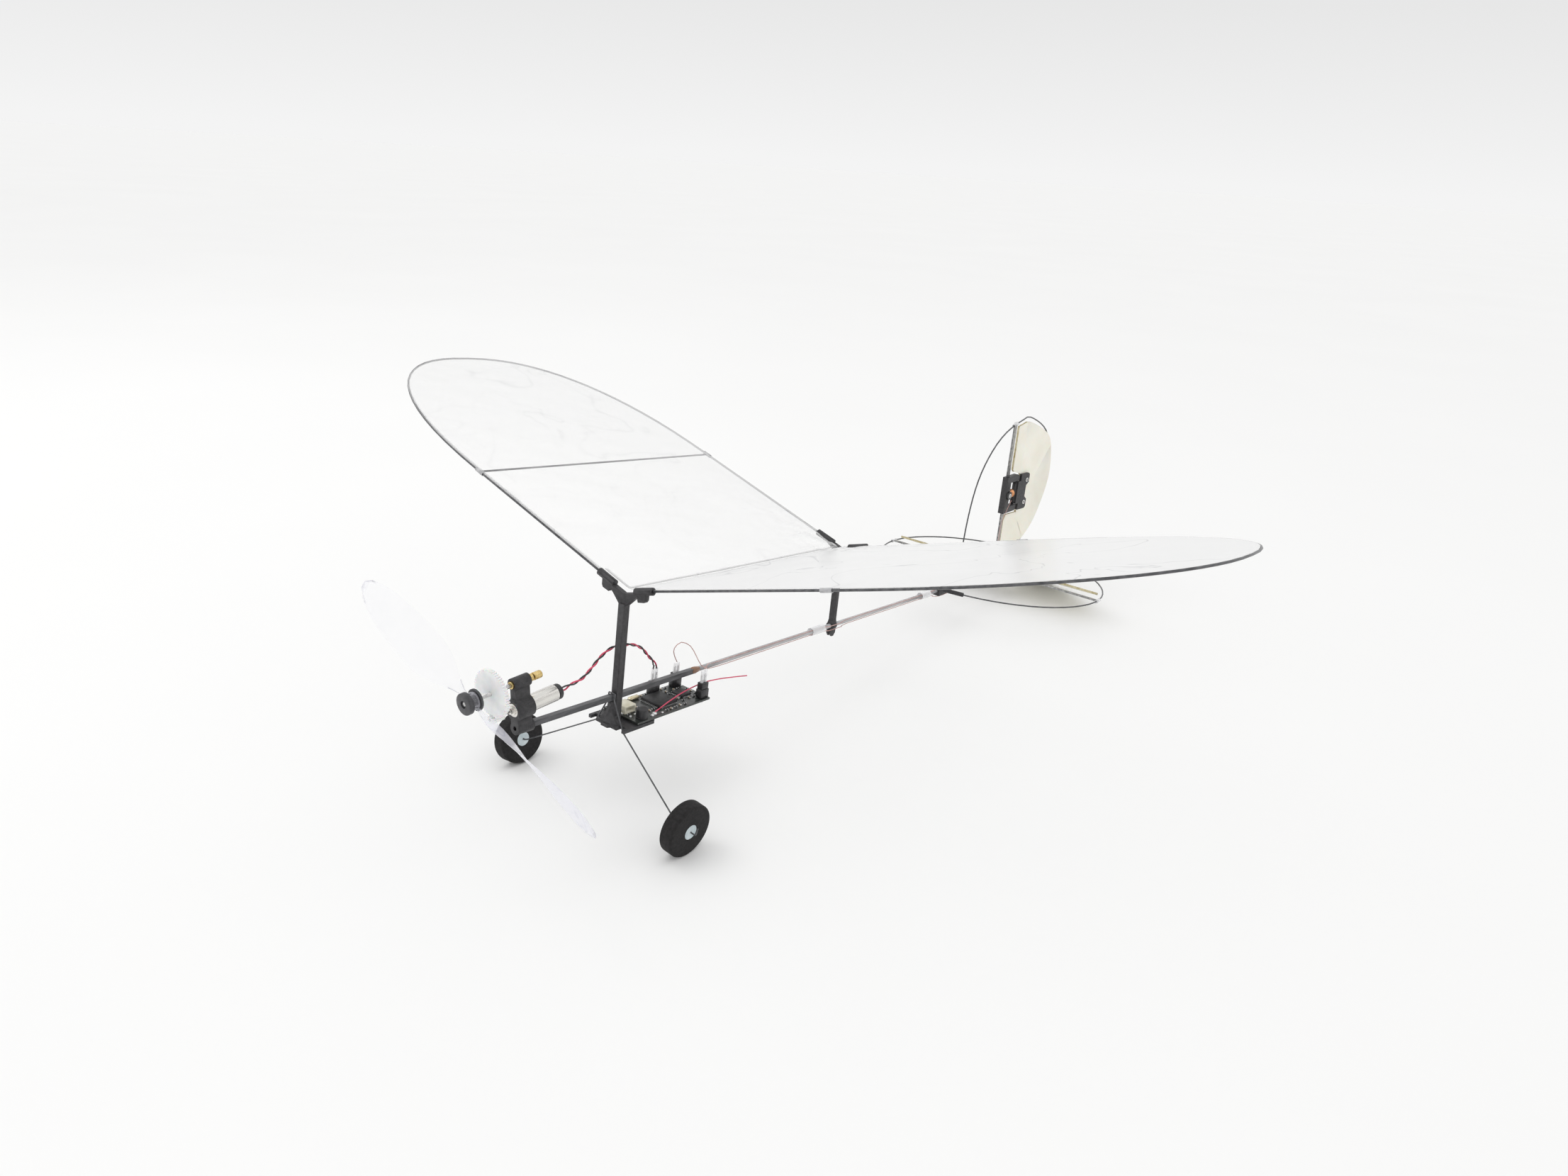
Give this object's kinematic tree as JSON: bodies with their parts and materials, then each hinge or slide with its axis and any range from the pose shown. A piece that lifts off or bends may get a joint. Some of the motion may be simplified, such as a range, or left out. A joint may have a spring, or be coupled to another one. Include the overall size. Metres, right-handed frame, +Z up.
{
  "type": "indoor micro aeroplane",
  "caption": "Ultralight indoor micro aeroplane with carbon rod frames, clear film wing, geared propeller, rudder, elevator and foam wheels.",
  "frame": {"origin": "centre of the footprint, on the ground that the wheels and the drooped elevator stand on", "axes": "+Y runs aft from the propeller to the tail, +Z up, +X to the aeroplane's left (port) wing tip"},
  "size_m": [0.375, 0.4152, 0.1309],
  "materials": {
    "carbon_rod": "dark grey pultruded carbon fibre rod, satin",
    "grey_tube": "pale grey glossy composite tube",
    "black_plastic": "black printed nylon, satin",
    "dark_grey_plastic": "dark grey moulded plastic",
    "white_plastic": "ivory moulded plastic",
    "white_nylon": "milky white nylon",
    "pale_plastic": "pale blue-grey plastic",
    "clear_plastic": "clear thin plastic",
    "clear_film": "clear thin plastic film",
    "black_foam": "matte black foam rubber",
    "cream_foam": "cream expanded foam sheet",
    "nickel": "bright nickel plate",
    "steel": "ground steel",
    "brass": "turned brass",
    "copper_coil": "wound enamelled copper",
    "circuit_board": "black solder mask",
    "chip_plastic": "moulded black epoxy",
    "crystal_case": "pale gold plated can",
    "motor_lead": "twisted crimson and black insulated wires",
    "red_lead": "crimson insulated wire",
    "enamelled_wire": "pink enamelled copper wire"
  },
  "bodies": {
    "airframe": {"boom_rod": "carbon_rod", "boom_tube": "grey_tube", "mast_frame": "black_plastic", "landing_wire": "carbon_rod", "motor_mount": "black_plastic", "shaft_bushing": "brass", "motor_can": "nickel", "motor_end_cap": "black_plastic", "circuit_board": "circuit_board", "main_chip": "chip_plastic", "radio_chip": "chip_plastic", "battery_socket": "white_plastic", "crystal": "crystal_case", "capacitor": "chip_plastic", "socket_motor": "black_plastic", "socket_rudder": "black_plastic", "socket_elevator": "black_plastic", "plug_motor": "black_plastic", "plug_rudder": "black_plastic", "plug_elevator": "black_plastic", "rear_strut": "black_plastic", "wing_frame_port": "carbon_rod", "wing_frame_starboard": "carbon_rod", "wing_rib_port": "carbon_rod", "wing_rib_starboard": "carbon_rod", "wing_film_port": "clear_film", "wing_film_starboard": "clear_film", "tail_socket": "black_plastic", "stab_frame": "carbon_rod", "stab_spar": "grey_tube", "fin_frame": "carbon_rod", "fin_post": "grey_tube", "rudder_frame": "black_plastic", "rudder_coil": "copper_coil", "rudder_pin": "steel", "elevator_frame": "black_plastic", "elevator_coil": "copper_coil", "elevator_pin": "steel", "motor_lead": "motor_lead", "rudder_lead": "enamelled_wire", "elevator_lead": "enamelled_wire", "antenna_wire": "red_lead"},
    "propeller_drive": {"prop_shaft": "steel", "spur_gear": "white_nylon", "prop_hub": "dark_grey_plastic", "propeller": "clear_plastic", "shaft_collar": "brass"},
    "pinion_drive": {"motor_shaft": "steel", "pinion_gear": "white_nylon"},
    "wheel_port": {"tyre_port": "black_foam", "hub_port": "pale_plastic"},
    "wheel_starboard": {"tyre_starboard": "black_foam", "hub_starboard": "pale_plastic"},
    "rudder": {"rudder_foam": "cream_foam", "rudder_bracket": "black_plastic", "rudder_magnet": "nickel"},
    "elevator": {"elevator_foam": "cream_foam", "elevator_bracket": "black_plastic", "elevator_magnet": "nickel"}
  },
  "joints": [
    {"name": "prop_spin", "type": "hinge", "parent": "airframe", "child": "propeller_drive", "pos_m": [0, -0.18711, 0.06279], "axis": [0, 1, 0.0068], "continuous": true},
    {"name": "pinion_spin", "type": "hinge", "parent": "airframe", "child": "pinion_drive", "pos_m": [0, -0.18704, 0.05334], "axis": [0, 1, 0.0068], "continuous": true},
    {"name": "wheel_port_spin", "type": "hinge", "parent": "airframe", "child": "wheel_port", "pos_m": [0.0452, -0.15062, 0.01015], "axis": [0.9942, -0.0107, -0.1066], "continuous": true},
    {"name": "wheel_starboard_spin", "type": "hinge", "parent": "airframe", "child": "wheel_starboard", "pos_m": [-0.0452, -0.15062, 0.01015], "axis": [-0.9942, -0.0107, -0.1066], "continuous": true},
    {"name": "rudder_hinge", "type": "hinge", "parent": "airframe", "child": "rudder", "pos_m": [0, 0.16795, 0.0583], "axis": [0, 0.0329, 0.9995], "range_deg": [-20, 30]},
    {"name": "elevator_hinge", "type": "hinge", "parent": "airframe", "child": "elevator", "pos_m": [0, 0.16142, 0.0151], "axis": [1, 0, 0], "range_deg": [0, 40]}
  ],
  "couplings": [
    {"joint": "pinion_spin", "follows": "prop_spin", "ratio": -6}
  ]
}
